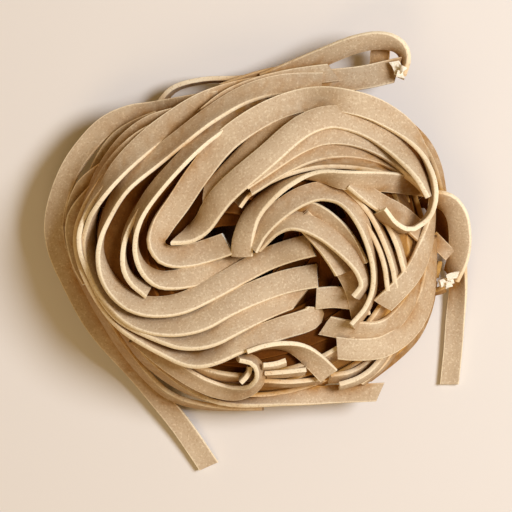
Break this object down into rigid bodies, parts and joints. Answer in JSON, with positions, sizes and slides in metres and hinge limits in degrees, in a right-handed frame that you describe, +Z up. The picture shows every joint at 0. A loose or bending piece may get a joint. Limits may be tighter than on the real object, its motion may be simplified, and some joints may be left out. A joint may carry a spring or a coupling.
{
  "type": "dry pasta nest",
  "caption": "Nest of dry wholegrain ribbon pasta, flat strands wound into a loose swirled heap with stray loops and tails.",
  "frame": {"origin": "on the plane the nest rests on, under the middle of its outer box", "axes": "+Z up, through the shortest extent; seen from above, +X right and +Y away, with the loose tail at the front left"},
  "size_m": [0.0975, 0.1016, 0.0314],
  "materials": {
    "wholegrain_pasta": "matte, slightly floury and finely speckled with bran, paler along the cut edges"
  },
  "bodies": {
    "root": {"nest": "wholegrain_pasta"}
  },
  "joints": []
}
